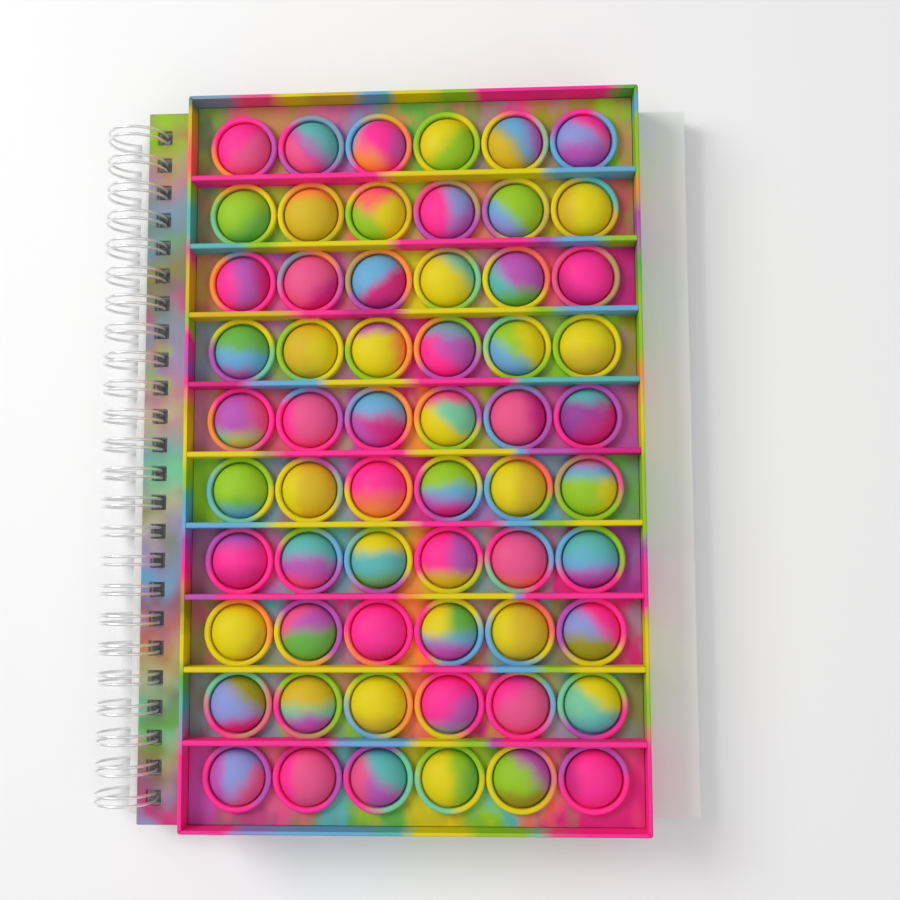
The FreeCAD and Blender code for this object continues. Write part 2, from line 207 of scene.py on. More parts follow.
siliconeFeel = {
    "grain": 2600.0,  # fine moulded texture, per metre
    "grainDepth": 0.00002,
    "rough": 0.58,
    "roughSpread": 0.12,
    "patchWobble": 0.5,
    "patchSoft": 0.36,
    "bandBlur": 0.02,
    "bandDrift": 0.05,
    "rowBlur": 0.06,
    "rowWander": 0.3,
    "rowStreak": 0.06,
    "marbleWander": 0.16,
    "marbleStreak": 0.02,
}

headings = {"n": 90, "ne": 45, "e": 0, "se": -45, "s": -90, "sw": -135, "w": 180, "nw": 135}


def siliconeSurface(recipe, colour, spot):
    grain = recipe.noise(spot, siliconeFeel["grain"], 3.0)
    smear = recipe.noise(spot, 160.0)
    rough = smear * siliconeFeel["roughSpread"] + siliconeFeel["rough"]
    normal = recipe.bump(grain, 0.35, siliconeFeel["grainDepth"])
    return recipe.surface(Base_Color=colour, Roughness=rough, Normal=normal,
                          Specular_IOR_Level=0.32, Subsurface_Weight=0.0)


def patchSilicone(name, words, seed):
    # "main, colour heading edge, ..." laid over one round piece; edge runs from -1 to 1
    recipe = Recipe(name)
    spot = recipe.spot("rest")
    across, along, lift = recipe.split(recipe.spot("local"))
    parts = [part.split() for part in words.split(",")]
    colour = linear(parts[0][0])
    shift = recipe.vector("ADD", spot, (seed * 0.037, seed * 0.011, 0))
    swirl = recipe.noise(shift, 62.0, 1.5) + recipe.noise(shift, 260.0, 2.0) * 0.35 - 0.675
    for index, part in enumerate(parts[1:]):
        angle = math.radians(headings[part[1]])
        edge = float(part[2]) if len(part) > 2 else 0.2
        reach = across * math.cos(angle) + along * math.sin(angle)
        reach = reach + swirl * (siliconeFeel["patchWobble"] * (1 if index % 2 else -1) * 2)
        soft = siliconeFeel["patchSoft"]
        colour = recipe.mixColour(recipe.step(reach, edge - soft, edge + soft), colour, linear(part[0]))
    return siliconeSurface(recipe, colour, spot)


def bandColour(recipe, words, place, widest):
    # "colour start, colour start, ..." one after another as place goes from 0 to 1
    parts = [part.split() for part in words.split(",")]
    starts = [float(part[1]) for part in parts] + [1.0]
    limit = 15  # bands that one ramp holds
    colour = None
    for first in range(0, len(parts), limit):
        stops = [(0.0, linear(parts[first][0]))]
        for index in range(first + 1, min(first + limit, len(parts))):
            start = starts[index]
            blur = min(widest, 0.45 * (start - starts[index - 1]), 0.45 * (starts[index + 1] - start))
            stops.append((start - blur, linear(parts[index - 1][0])))
            stops.append((start + blur, linear(parts[index][0])))
        band = recipe.add("ShaderNodeValToRGB", {"stops": stops}, {0: place}).out("Color")
        start = starts[first]
        if colour is not None:
            band = recipe.mixColour(recipe.step(place, start - 0.008, start + 0.008), colour, band)
        colour = band
    return colour


def bandSilicone(name, words, axis, low, high):
    # bands along X or Y
    recipe = Recipe(name)
    spot = recipe.spot("rest")
    across, along, lift = recipe.split(spot)
    run = ((across if axis == "x" else along) - low) / (high - low)
    drift = recipe.noise(spot, 90.0) - 0.5
    colour = bandColour(recipe, words, run + drift * siliconeFeel["bandDrift"], siliconeFeel["bandBlur"])
    return siliconeSurface(recipe, colour, spot)


def rowsSilicone(name, rows, low, high, edges):
    # bands across, a list for each row, run into each other; edges part the rows
    recipe = Recipe(name)
    spot = recipe.spot("rest")
    across, along, lift = recipe.split(spot)
    drawn = recipe.vector("MULTIPLY", spot, (1.0, 0.55, 1.0))
    wander = recipe.noise(drawn, 75.0) - 0.5
    streak = recipe.noise(drawn, 300.0, 3.0) - 0.5
    blur = siliconeFeel["rowBlur"]
    place = (across - low) / (high - low)
    place = place + wander * siliconeFeel["rowWander"] + streak * siliconeFeel["rowStreak"]
    blotch = recipe.step(recipe.noise(drawn, 130.0, 2.5), 0.4, 0.62) * 0.6
    colour = None
    for row, words in rows.items():
        band = bandColour(recipe, words, place, blur)
        neighbour = bandColour(recipe, words, place * -0.8 + 0.95, blur)
        band = recipe.mixColour(blotch, band, neighbour)
        if colour is not None:
            band = recipe.mixColour(recipe.step(edges[row] - along, -0.0006, 0.0006), colour, band)
        colour = band
    return siliconeSurface(recipe, colour, spot)


def marbledSilicone(name, names, low, high, seed):
    # soft colours one after another up the page, run into each other
    recipe = Recipe(name)
    spot = recipe.spot("rest")
    across, along, lift = recipe.split(spot)
    shift = recipe.vector("ADD", spot, (seed * 0.031, seed * 0.017, 0))
    drawn = recipe.vector("MULTIPLY", shift, (1.0, 0.4, 1.0))
    wander = recipe.noise(drawn, 70.0) - 0.5
    blotch = recipe.noise(shift, 85.0, 1.5)
    streak = recipe.noise(drawn, 420.0, 1.0) - 0.5
    place = (along - low) / (high - low)
    place = place + wander * siliconeFeel["marbleWander"] + streak * siliconeFeel["marbleStreak"]
    words = names.split()
    colours = []
    for turn in (0, len(words) // 3):
        turned = words[turn:] + words[:turn]
        stops = [(index / (len(words) - 1), linear(word)) for index, word in enumerate(turned)]
        colours.append(recipe.add("ShaderNodeValToRGB", {"stops": stops}, {0: place}).out("Color"))
    colour = recipe.mixColour(recipe.step(blotch, 0.4, 0.66) * 0.75, colours[0], colours[1])
    return siliconeSurface(recipe, colour, spot)


def makePiece(name, points, faces, materials, smoothAngle=38, slots=None):
    mesh = bpy.data.meshes.new(name)
    mesh.from_pydata([tuple(point) for point in points], [], faces)
    mesh.validate()
    for material in materials:
        mesh.materials.append(material)
    if slots:
        mesh.polygons.foreach_set("material_index", slots)
    mesh.shade_smooth()
    mesh.set_sharp_from_angle(angle=math.radians(smoothAngle))
    rest = mesh.attributes.new("rest", "FLOAT_VECTOR", "POINT")
    rest.data.foreach_set("vector", [value for vertex in mesh.vertices for value in vertex.co])
    piece = bpy.data.objects.new(name, mesh)
    bpy.context.scene.collection.objects.link(piece)
    return piece


def setLocal(piece, values):
    local = piece.data.attributes.new("local", "FLOAT_VECTOR", "POINT")
    local.data.foreach_set("vector", [number for value in values for number in value])


def roundedEnds(low, high, up, radius, steps):
    # top of a wall section from (low, up) over to (high, up) with rounded corners, as (across, up)
    points = []
    for step in range(steps + 1):
        angle = math.pi / 2 * step / steps
        points.append((high - radius + radius * math.cos(angle), up - radius + radius * math.sin(angle)))
    for step in range(steps + 1):
        angle = math.pi / 2 + math.pi / 2 * step / steps
        points.append((low + radius + radius * math.cos(angle), up - radius + radius * math.sin(angle)))
    return points


def spin(profile, centre, segments, closed):
    # turns (radius, up) points about the vertical through centre
    points = []
    faces = []
    rings = []
    for radius, up in profile:
        if radius < 1e-7:
            points.append((centre[0], centre[1], up))
            rings.append([len(points) - 1])
            continue
        ring = []
        for step in range(segments):
            angle = 2 * math.pi * step / segments
            points.append((centre[0] + radius * math.cos(angle), centre[1] + radius * math.sin(angle), up))
            ring.append(len(points) - 1)
        rings.append(ring)
    pairs = list(zip(rings, rings[1:]))
    if closed:
        pairs.append((rings[-1], rings[0]))
    for first, second in pairs:
        for step in range(segments):
            after = (step + 1) % segments
            if len(first) == 1 and len(second) == 1:
                continue
            if len(first) == 1:
                faces.append((first[0], second[step], second[after]))
            elif len(second) == 1:
                faces.append((first[step], second[0], first[after]))
            else:
                faces.append((first[step], second[step], second[after], first[after]))
    return points, faces


def loft(sections):
    # closed sections of equal count joined one after another, with flat ends
    count = len(sections[0])
    points = [point for section in sections for point in section]
    faces = []
    for level in range(len(sections) - 1):
        for step in range(count):
            after = (step + 1) % count
            base = level * count
            faces.append((base + step, base + after, base + count + after, base + count + step))
    faces.append(tuple(reversed(range(count))))
    faces.append(tuple(range(len(points) - count, len(points))))
    return points, faces


def plate(acrossLines, alongLines, low, high, missing):
    # flat plate on a grid of lines, without the missing cells
    points = []
    index = {}

    def spotAt(column, row, top):
        key = (column, row, top)
        if key not in index:
            index[key] = len(points)
            points.append((acrossLines[column], alongLines[row], high if top else low))
        return index[key]

    columns = len(acrossLines) - 1
    rows = len(alongLines) - 1

    def there(column, row):
        return 0 <= column < columns and 0 <= row < rows and (column, row) not in missing

    faces = []
    for column in range(columns):
        for row in range(rows):
            if not there(column, row):
                continue
            corners = [(column, row), (column + 1, row), (column + 1, row + 1), (column, row + 1)]
            faces.append(tuple(spotAt(c, r, True) for c, r in corners))
            faces.append(tuple(spotAt(c, r, False) for c, r in reversed(corners)))
            sides = [(0, -1), (1, 0), (0, 1), (-1, 0)]
            for side, (stepAcross, stepAlong) in enumerate(sides):
                if there(column + stepAcross, row + stepAlong):
                    continue
                first = corners[side]
                second = corners[(side + 1) % 4]
                faces.append((spotAt(*first, False), spotAt(*second, False),
                              spotAt(*second, True), spotAt(*first, True)))
    return points, faces


# sizes of the silicone tray, as made
tray = {
    "flangeWidth": 0.0162,
    "flangeThickness": 0.0020,
    "flangeMargin": 0.0049,
    "wall": 0.0018,
    "wellDepth": 0.0067,
    "floor": 0.0012,
    "rib": 0.0016,
    "rowPitch": 0.0199,
    "columnPitch": 0.0197,
    "rows": 10,
    "columns": 6,
    "length": 0.2082,
    "cornerRadius": 0.0008,
    "edgeRadius": 0.00045,
    "collarOuter": 0.0097,
    "collarInner": 0.0081,
    "collarHeight": 0.0023,
    "domeRadius": 0.0078,
    "domeWall": 0.0010,
    "webReach": 0.0004,  # bubble's web, into its collar
    "webLift": 0.0002,  # web over the floor's top
}

loopPitch = 0.0084667
loopCount = 24
holeHalf = 0.00215

coverLow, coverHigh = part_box("popper_cover")
wireLow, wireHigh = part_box("wire_binding")
rimTop = coverHigh.z
floorTop = rimTop - tray["wellDepth"]
floorUnder = floorTop - tray["floor"]
trayLow = coverLow.x + tray["flangeWidth"]
trayHigh = coverHigh.x
trayMiddle = (trayLow + trayHigh) / 2
wellLow = trayLow + tray["wall"]
wellHigh = trayHigh - tray["wall"]
trayHalf = tray["length"] / 2
wellHalf = trayHalf - tray["wall"]
holeRows = [(step - (loopCount - 1) / 2) * loopPitch for step in range(loopCount)]


def bubbleCentre(row, column):
    across = trayMiddle + (column - (tray["columns"] + 1) / 2) * tray["columnPitch"]
    along = ((tray["rows"] + 1) / 2 - row) * tray["rowPitch"]
    return across, along


print("stage: tray walls")
wallColours = {
    "left": "pink 0, lilac 0.12, teal 0.15, green 0.18, yellow 0.21, olive 0.275, coral 0.305, pink 0.33,"
            " mauve 0.365,"
            " blue 0.395, teal 0.43, lime 0.455, yellow 0.485, golden 0.55, pink 0.58, mauve 0.61,"
            " pink 0.64, lime 0.67,"
            " golden 0.70, rose 0.765, teal 0.795, lime 0.855, coral 0.885, golden 0.945, sage 0.985",
    "right": "pink 0, lime 0.135, yellow 0.20, golden 0.27, pink 0.285, mauve 0.36, lime 0.385,"
             " yellow 0.50,"
             " orange 0.58, lime 0.62, green 0.73, mauve 0.78, tan 0.83, orange 0.85, lime 0.87,"
             " blue 0.95, green 0.985",
    "head": "steel 0, rose 0.1, yellow 0.2, golden 0.27, blue 0.38, teal 0.43, yellow 0.46, lime 0.55,"
            " pink 0.64, green 0.95",
    "foot": "pink 0, periwinkle 0.12, blue 0.2, teal 0.42, yellow 0.5, lime 0.62, mint 0.745, rose 0.78,"
            " pink 0.83",
}


def wallSection(inner):
    # section of a wall seen along it: 0 at the outer face, growing inwards
    edge = tray["edgeRadius"]
    low = coverLow.z
    section = [(0.0, low + edge), (edge, low), (inner - edge, low), (inner, low + edge)]
    return section + roundedEnds(0.0, inner, rimTop, edge, 5)


def buildWalls():
    corner = tray["cornerRadius"]
    sections = {"left": [], "right": [], "head": [], "foot": []}
    corners = [
        (trayHigh - corner, -trayHalf + corner, -90, "foot", "right"),
        (trayHigh - corner, trayHalf - corner, 0, "right", "head"),
        (trayLow + corner, trayHalf - corner, 90, "head", "left"),
        (trayLow + corner, -trayHalf + corner, 180, "left", "foot"),
    ]
    profile = wallSection(tray["wall"])
    for across, along, start, before, after in corners:
        for step in range(9):
            angle = math.radians(start + 90 * step / 8)
            ring = []
            for depth, up in profile:
                reach = max(corner - depth, -0.0003)
                ring.append((across + reach * math.cos(angle), along + reach * math.sin(angle), up))
            if step <= 4:
                sections[before].append(ring)
            if step >= 4:
                sections[after].append(ring)
    for side, rings in sections.items():
        if side == "foot":
            rings = rings[5:] + rings[:5]  # its first corner was laid down before its last
        axis = "y" if side in ("left", "right") else "x"
        low = -trayHalf if axis == "y" else trayLow
        high = trayHalf if axis == "y" else trayHigh
        material = bandSilicone("silicone_wall_" + side, wallColours[side], axis, low, high)
        points, faces = loft(rings)
        piece = makePiece("tray_wall_" + side, points, faces, [material])
        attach(piece, "cover")
        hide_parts("popper_cover")


buildWalls()

ribColours = {
    1: "pink 0, yellow 0.445, blue 0.80",
    2: "teal 0, lime 0.13, yellow 0.2, pink 0.46, mauve 0.76, blue 0.82, lime 0.92",
    3: "golden 0, pink 0.24, magenta 0.36, yellow 0.48, lime 0.76, blue 0.82",
    4: "magenta 0, periwinkle 0.14, blue 0.18, yellow 0.31, pink 0.50, teal 0.73",
    5: "yellow 0, tan 0.17, pink 0.21, yellow 0.50, blue 0.72, mauve 0.745, magenta 0.85",
    6: "blue 0, mint 0.16, yellow 0.19, pink 0.50, blue 0.69, lime 0.77, yellow 0.84",
    7: "mauve 0, pink 0.08, orange 0.48, yellow 0.51, periwinkle 0.72, pink 0.74",
    8: "yellow 0, orange 0.48, pink 0.51, blue 0.66, lime 0.77, yellow 0.84",
    9: "pink 0, periwinkle 0.33, blue 0.37, yellow 0.50, lime 0.60, mauve 0.665, pink 0.69",
}


def buildRibs():
    edge = tray["edgeRadius"]
    half = tray["rib"] / 2
    first = (tray["rows"] - 2) / 2 * tray["rowPitch"]
    for number in range(1, tray["rows"]):
        along = first - (number - 1) * tray["rowPitch"]
        top = roundedEnds(along - half, along + half, rimTop - 0.00004, edge, 5)
        section = [(along - half, floorTop - 0.0004), (along + half, floorTop - 0.0004)] + top
        stops = [wellLow - 0.0006 + (wellHigh - wellLow + 0.0012) * step / 24 for step in range(25)]
        sections = [[(across, spotAlong, up) for spotAlong, up in section] for across in stops]
        points, faces = loft(sections)
        material = bandSilicone("silicone_rib_%d" % number, ribColours[number], "x", trayLow, trayHigh)
        piece = makePiece("tray_rib_%d" % number, points, faces, [material])
        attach(piece, "cover")


buildRibs()

print("stage: tray floor and flange")
floorColours = {
    1: "sage 0, rose 0.07, olive 0.15, dustyRose 0.23, mauve 0.29, steel 0.37, coral 0.44, green 0.5,"
       " moss 0.6, rose 0.69,"
       " olive 0.8, lime 0.93",
    2: "sage 0, green 0.08, olive 0.2, coral 0.34, lime 0.45, rose 0.54, lime 0.67, golden 0.8, brick 0.93",
    3: "ochre 0, mauve 0.08, magenta 0.2, tan 0.36, yellow 0.45, lime 0.54, mauve 0.67, coral 0.8,"
       " magenta 0.92",
    4: "slate 0, mauve 0.07, lime 0.18, mauve 0.34, magenta 0.48, dusk 0.63, lime 0.79, olive 0.93",
    5: "ochre 0, brick 0.07, rose 0.18, mauve 0.31, magenta 0.42, orange 0.49, golden 0.55, lime 0.62,"
       " brick 0.7, mauve 0.84",
    6: "lime 0, teal 0.05, dusk 0.16, olive 0.26, mauve 0.34, magenta 0.47, lilac 0.6, blue 0.67,"
       " steel 0.8, green 0.9",
    7: "dusk 0, mauve 0.08, teal 0.2, slate 0.33, golden 0.45, coral 0.53, teal 0.65, magenta 0.76,"
       " purple 0.9",
    8: "moss 0, teal 0.1, mauve 0.22, magenta 0.36, orange 0.48, green 0.57, teal 0.65, moss 0.75,"
       " magenta 0.9",
    9: "dusk 0, slate 0.1, lime 0.27, golden 0.4, orange 0.48, magenta 0.54, rose 0.68, teal 0.79,"
       " moss 0.92",
    10: "mauve 0, dusk 0.06, rose 0.13, moss 0.22, teal 0.3, green 0.37, olive 0.45, yellow 0.52,"
        " lime 0.62, teal 0.69,"
        " coral 0.75, magenta 0.81",
}


def buildFloor():
    # one ring-shaped patch per bubble, filled out to the cell's edges
    segments = 48
    bore = tray["collarInner"] + 0.0006
    halfAcross = tray["columnPitch"] / 2
    halfAlong = tray["rowPitch"] / 2
    points = []
    faces = []
    known = {}

    def vertex(across, along, up):
        key = (round(across, 6), round(along, 6), round(up, 6))
        if key not in known:
            known[key] = len(points)
            points.append((across, along, up))
        return known[key]

    for row in range(1, tray["rows"] + 1):
        for column in range(1, tray["columns"] + 1):
            across, along = bubbleCentre(row, column)
            west = across - halfAcross if column > 1 else wellLow - 0.0005
            east = across + halfAcross if column < tray["columns"] else wellHigh + 0.0005
            south = along - halfAlong if row < tray["rows"] else -wellHalf - 0.0005
            north = along + halfAlong if row > 1 else wellHalf + 0.0005
            for step in range(segments):
                corners = []
                for turn in (step, step + 1):
                    angle = 2 * math.pi * turn / segments
                    cosine = math.cos(angle)
                    sine = math.sin(angle)
                    reachAcross = (east - across if cosine > 0 else across - west) / max(abs(cosine), 1e-9)
                    reachAlong = (north - along if sine > 0 else along - south) / max(abs(sine), 1e-9)
                    if reachAcross < reachAlong:
                        edge = (east if cosine > 0 else west, along + sine * reachAcross)
                    else:
                        edge = (across + cosine * reachAlong, north if sine > 0 else south)
                    corners.append(((across + bore * cosine, along + bore * sine), edge))
                first, second = corners[0][1], corners[1][1]
                bend = (first[0] if first[0] in (west, east) else second[0],
                        first[1] if first[1] in (south, north) else second[1])
                for up, flip in ((floorTop, False), (floorUnder, True)):
                    ring = [vertex(*corners[0][0], up), vertex(*first, up)]
                    if abs(first[0] - second[0]) > 1e-7 and abs(first[1] - second[1]) > 1e-7:
                        ring.append(vertex(*bend, up))
                    ring.extend([vertex(*second, up), vertex(*corners[1][0], up)])
                    ring = [spot for place, spot in enumerate(ring) if spot not in ring[:place]]
                    if len(ring) > 2:
                        faces.append(tuple(reversed(ring)) if flip else tuple(ring))
    edges = {row: bubbleCentre(row, 1)[1] + halfAlong for row in floorColours}
    material = rowsSilicone("silicone_floor", floorColours, wellLow, wellHigh, edges)
    piece = makePiece("tray_floor", points, faces, [material])
    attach(piece, "cover")


buildFloor()

flangeMarble = ("magenta dusk moss green sage ochre brick dusk blue lilac sand mint mint sand dustyRose"
                " lilac slate sage moss slate steel dustyRose lime lime")


def softened(piece, width, segments=2):
    # small round on every sharp edge
    modifier = piece.modifiers.new("soft_edges", "BEVEL")
    modifier.width = width
    modifier.segments = segments
    modifier.limit_method = "ANGLE"
    modifier.angle_limit = math.radians(50)
    modifier.harden_normals = False


def punchedPlate(name, low, high, holeAcross, material, edge=0.0):
    # plate with the spine's row of square holes
    acrossLines = [low[0], holeAcross - holeHalf, holeAcross + holeHalf, high[0]]
    alongLines = [low[1]]
    missing = set()
    for along in holeRows:
        alongLines.append(along - holeHalf)
        missing.add((1, len(alongLines) - 1))
        alongLines.append(along + holeHalf)
    alongLines.append(high[1])
    points, faces = plate(acrossLines, alongLines, low[2], high[2], missing)
    piece = makePiece(name, points, faces, [material], 30)
    if edge:
        softened(piece, edge)
    return piece


def buildFlange():
    low = (coverLow.x, coverLow.y, coverLow.z)
    high = (trayLow + tray["wall"] / 2, coverHigh.y, coverLow.z + tray["flangeThickness"])
    material = marbledSilicone("silicone_flange", flangeMarble, -trayHalf, trayHalf, 9)
    piece = punchedPlate("spine_flange", low, high, coverLow.x + tray["flangeMargin"], material, 0.0004)
    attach(piece, "cover")


buildFlange()

print("stage: collars and bubbles")
bubbleColours = {
    1: "pink, rose se 0.1|mauve, rose sw 0.1, teal ne 0.2|pink, orange sw 0.45, blue nw 0.75, mauve e 0.75"
       "|yellow, lime se 0.1|olive, golden sw 0.1, blue ne 0.0, mauve e 0.45|periwinkle, mauve s 0.3,"
       " pink ne 0.35",
    2: "lime, green se 0.3|golden, orange n 0.45|yellow, coral nw 0.15, pink n 0.7, lime sw 0.55"
       "|pink, periwinkle e 0.1, mauve se 0.6|lime, blue sw 0.3, periwinkle sw 0.7|yellow, golden w 0.5",
    3: "mauve, pink w 0.3, magenta e 0.5|rose, magenta se 0.6|blue, magenta se 0.15, purple s 0.75"
       "|yellow, mint ne 0.35|mauve, teal sw 0.3, green s 0.65|pink, magenta sw 0.6",
    4: "blue, green n 0.1, mauve s 0.7|golden, yellow e 0.3|yellow, mauve n 0.6, orange e 0.7"
       "|mauve, steel n 0.3, pink sw 0.25|lime, yellow e 0.2, blue sw 0.3|yellow, golden s 0.3",
    5: "mauve, rose e 0.45, mint s 0.45, golden s 0.75|rose, pink w 0.5|blue, magenta s 0.0, mauve sw 0.5"
       "|yellow, mint ne 0.0, rose n 0.5|rose, magenta e 0.4|purple, teal n 0.4, magenta se 0.2",
    6: "lime, green s 0.4, blue s 0.75|golden, yellow w 0.4|pink, coral s 0.3, orange s 0.6"
       "|lime, blue s -0.05, mauve s 0.35, magenta s 0.8|golden, yellow w 0.1|lime, yellow e 0.3,"
       " blue n 0.4, rose n 0.75",
    7: "pink, mauve n 0.4, magenta s 0.5|mauve, teal n 0.05, rose s 0.6|teal, yellow n 0.35, green s 0.6"
       "|pink, mauve e 0.2, golden s 0.4|rose, coral s 0.6|teal, blue s 0.0, mauve s 0.35, purple s 0.75",
    8: "yellow, golden se 0.5|green, mauve n 0.0, rose nw 0.6|pink, magenta s 0.8"
       "|yellow, green e 0.1, blue s 0.05, mauve s 0.5|golden, yellow w 0.4|periwinkle, olive s 0.15,"
       " pink ne 0.25",
    9: "periwinkle, olive ne 0.4, magenta s 0.45|golden, mint s 0.05, mauve s 0.4|yellow, golden s 0.6"
       "|pink, mauve se 0.25, steel s 0.7|rose, pink nw 0.4|mint, yellow ne 0.15, teal s 0.4",
    10: "periwinkle, mauve w 0.35, rose se 0.4|rose, pink w 0.4|mauve, rose w 0.3, teal ne 0.1"
        "|yellow, lime e 0.1, green e 0.6|lime, olive s 0.3, mauve ne 0.45|pink, magenta w 0.55",
}

collarColours = {
    1: "pink, mauve e 0.6, orange sw 0.6|mauve, pink nw 0.4, steel ne 0.3|pink, blue nw 0.3,"
       " golden ne 0.35, coral e 0.75"
       "|yellow, lime nw 0.3, lime se 0.4|yellow, orange n 0.6, pink ne 0.5, mint e 0.6|mauve,"
       " pink n 0.75, blue e 0.35, blue sw 0.6",
    2: "lime, yellow ne 0.2, orange n 0.8, mint w 0.75|golden, yellow w 0.5, coral n 0.7, lime s 0.8"
       "|yellow, pink n 0.75, golden ne 0.3, lime sw 0.5|mauve, rose nw 0.5, tan ne 0.6|yellow,"
       " tan w 0.3, mauve w 0.7, tan e 0.8"
       "|golden, teal ne 0.6, yellow w 0.6",
    3: "pink, steel nw 0.5, orange w 0.6|pink, steel nw 0.6, orange ne 0.5, mauve e 0.75|mauve,"
       " tan nw 0.3, orange ne 0.2"
       "|lime, tan n 0.6, mint e 0.8, yellow w 0.6|yellow, mauve n 0.7, coral ne 0.4|rose, tan e 0.5,"
       " pink n 0.7",
    4: "lime, yellow n 0.4, mint se 0.5, mauve sw 0.4|yellow, mint sw 0.3, lime w 0.6|yellow,"
       " orange e 0.5, lime sw 0.4"
       "|mauve, orange nw 0.3, lime ne 0.5|yellow, mint nw 0.5, lime s 0.5|yellow, lime w 0.3",
    5: "pink, orange sw 0.2, mauve s 0.8|pink, blue n 0.75, mauve ne 0.45|pink, blue nw 0.5,"
       " orange ne 0.3, mauve w 0.8"
       "|yellow, orange nw 0.4, mauve ne 0.4, lime s 0.5|mauve, blue sw 0.4, blue n 0.8|mauve, pink sw 0.3",
    6: "yellow, lime n 0.3, mint sw 0.3, blue w 0.8|yellow, mauve ne 0.45, mint e 0.85|yellow,"
       " pink n 0.1, orange e 0.3"
       "|yellow, mauve sw 0.3, blue se 0.5, pink w 0.8|lime, yellow n 0.4, coral ne 0.6, blue sw 0.3"
       "|lime, tan nw 0.5, rose ne 0.5",
    7: "pink, mauve nw 0.5, rose n 0.8|pink, lime n 0.3, blue e 0.5, mauve se 0.6|yellow, lime nw 0.4,"
       " blue w 0.7, mauve s 0.5"
       "|pink, yellow s 0.4, lime se 0.7|pink, blue ne 0.5, mint sw 0.6|pink, blue nw 0.4, lime ne 0.5",
    8: "yellow, orange ne 0.3|mauve, yellow sw 0.2, orange s 0.8|pink, orange sw 0.6|yellow, pink w 0.4,"
       " blue se 0.45"
       "|yellow, coral ne 0.5, blue sw 0.4|yellow, mauve nw 0.2, pink ne 0.4",
    9: "mint, pink sw 0.5, tan se 0.4, rose e 0.8|lime, pink sw 0.5, tan s 0.8|yellow, blue sw 0.6,"
       " orange e 0.5, lime n 0.6"
       "|pink, yellow sw 0.4, orange w 0.7|pink, lime ne 0.5, blue e 0.8|mint, lime ne 0.1, mauve s 0.5,"
       " pink se 0.6",
    10: "mauve, pink sw 0.1|mauve, pink sw 0.0, magenta n 0.6|mint, mauve nw 0.1, pink sw 0.5"
        "|yellow, lime n 0.1, mint sw 0.6|yellow, mauve ne 0.5, orange e 0.7|pink, mauve n 0.1",
}


def collarProfile():
    # closed section of a collar, foot first, outer side up and over
    outer = tray["collarOuter"]
    inner = tray["collarInner"]
    top = floorTop + tray["collarHeight"]
    over = roundedEnds(inner, outer, top, 0.0006, 5)
    foot = [(inner, floorUnder + 0.0001), (outer - 0.0003, floorUnder + 0.0001), (outer, floorTop + 0.0001)]
    return foot + over


def bubbleProfile():
    # skin of one bubble from its web out in the collar, up over the crown and back inside
    radius = tray["domeRadius"]
    skin = tray["domeWall"]
    web = floorTop + tray["webLift"]
    rim = tray["collarInner"] + tray["webReach"]
    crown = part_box("bubble_1_1")[1].z - 0.00002
    rise = crown - web
    outside = [(rim, web), (radius + 0.0001, web + 0.00005)]
    for step in range(1, 15):
        angle = math.pi / 2 * step / 14
        outside.append((radius * math.cos(angle), web + rise * math.sin(angle)))
    outside[-1] = (0.0, crown)
    inside = [(0.0, crown - skin)]
    for step in range(13, -1, -1):
        angle = math.pi / 2 * step / 14
        inside.append(((radius - skin) * math.cos(angle), web - skin + rise * math.sin(angle)))
    inside.append((rim, web - skin))
    return outside + inside, web, crown


bubbleNodes = [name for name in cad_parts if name.startswith("bubble_")]


def buildBubbles():
    profile, web, crown = bubbleProfile()
    collar = collarProfile()
    for node in sorted(bubbleNodes):
        parts = [int(part) for part in node.split("_")[1:]]
        row = parts[0]
        skins = [[], [], [], [], []]  # points, faces, local, slots, materials
        for order, column in enumerate(parts[1:]):
            across, along = bubbleCentre(row, column)
            words = bubbleColours[row].split("|")[column - 1]
            ringWords = collarColours[row].split("|")[column - 1]
            label = "%d_%d" % (row, column)
            points, faces = spin(profile, (across, along), 48, True)
            start = len(skins[0])
            skins[0].extend(points)
            skins[1].extend([tuple(start + spot for spot in face) for face in faces])
            radius = tray["domeRadius"]
            skins[2].extend([((p[0] - across) / radius, (p[1] - along) / radius, 0.0) for p in points])
            skins[3].extend([order] * len(faces))
            skins[4].append(patchSilicone("silicone_bubble_" + label, words, row * 7 + column))
            ringPoints, ringFaces = spin(collar, (across, along), 64, True)
            ringMaterial = patchSilicone("silicone_collar_" + label, ringWords, row * 5 + column + 50)
            ring = makePiece("collar_" + label, ringPoints, ringFaces, [ringMaterial])
            reach = tray["collarOuter"]
            setLocal(ring, [((p[0] - across) / reach, (p[1] - along) / reach, 0.0) for p in ringPoints])
            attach(ring, "cover")
        name = "skin_" + "_".join(str(part) for part in parts)
        skin = makePiece(name, skins[0], skins[1], skins[4], 60, skins[3])
        setLocal(skin, skins[2])
        across, along = bubbleCentre(row, parts[1])
        web + 0.0003
        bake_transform(skin)
        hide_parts(node)


buildBubbles()

print("stage: leaves and back board")
paper = {
    "sheen": (0.90, 0.90, 0.885, 1.0),
    "shade": (0.84, 0.84, 0.83, 1.0),
    "boardSheen": (0.86, 0.86, 0.85, 1.0),
    "boardShade": (0.78, 0.78, 0.77, 1.0),
    "fibre": 900.0,
    "holeMargin": 0.0065,  # spine edge to the hole centres
    "trim": 0.0003,  # most that a sheet's edge falls short
    "fill": 0.82,  # part of a sheet's share of the block that is paper
}


def paperMaterial(name, tone, shade):
    recipe = Recipe(name)
    spot = recipe.spot("rest")
    cloud = recipe.noise(spot, 55.0, 3.0)
    fibre = recipe.noise(spot, paper["fibre"], 6.0)
    colour = recipe.mixColour(recipe.step(cloud, 0.35, 0.8) * 0.6, tone, shade)
    normal = recipe.bump(fibre, 0.25, 0.00003)
    rough = fibre * 0.15 + 0.72
    return recipe.surface(Base_Color=colour, Roughness=rough, Normal=normal, Specular_IOR_Level=0.25)


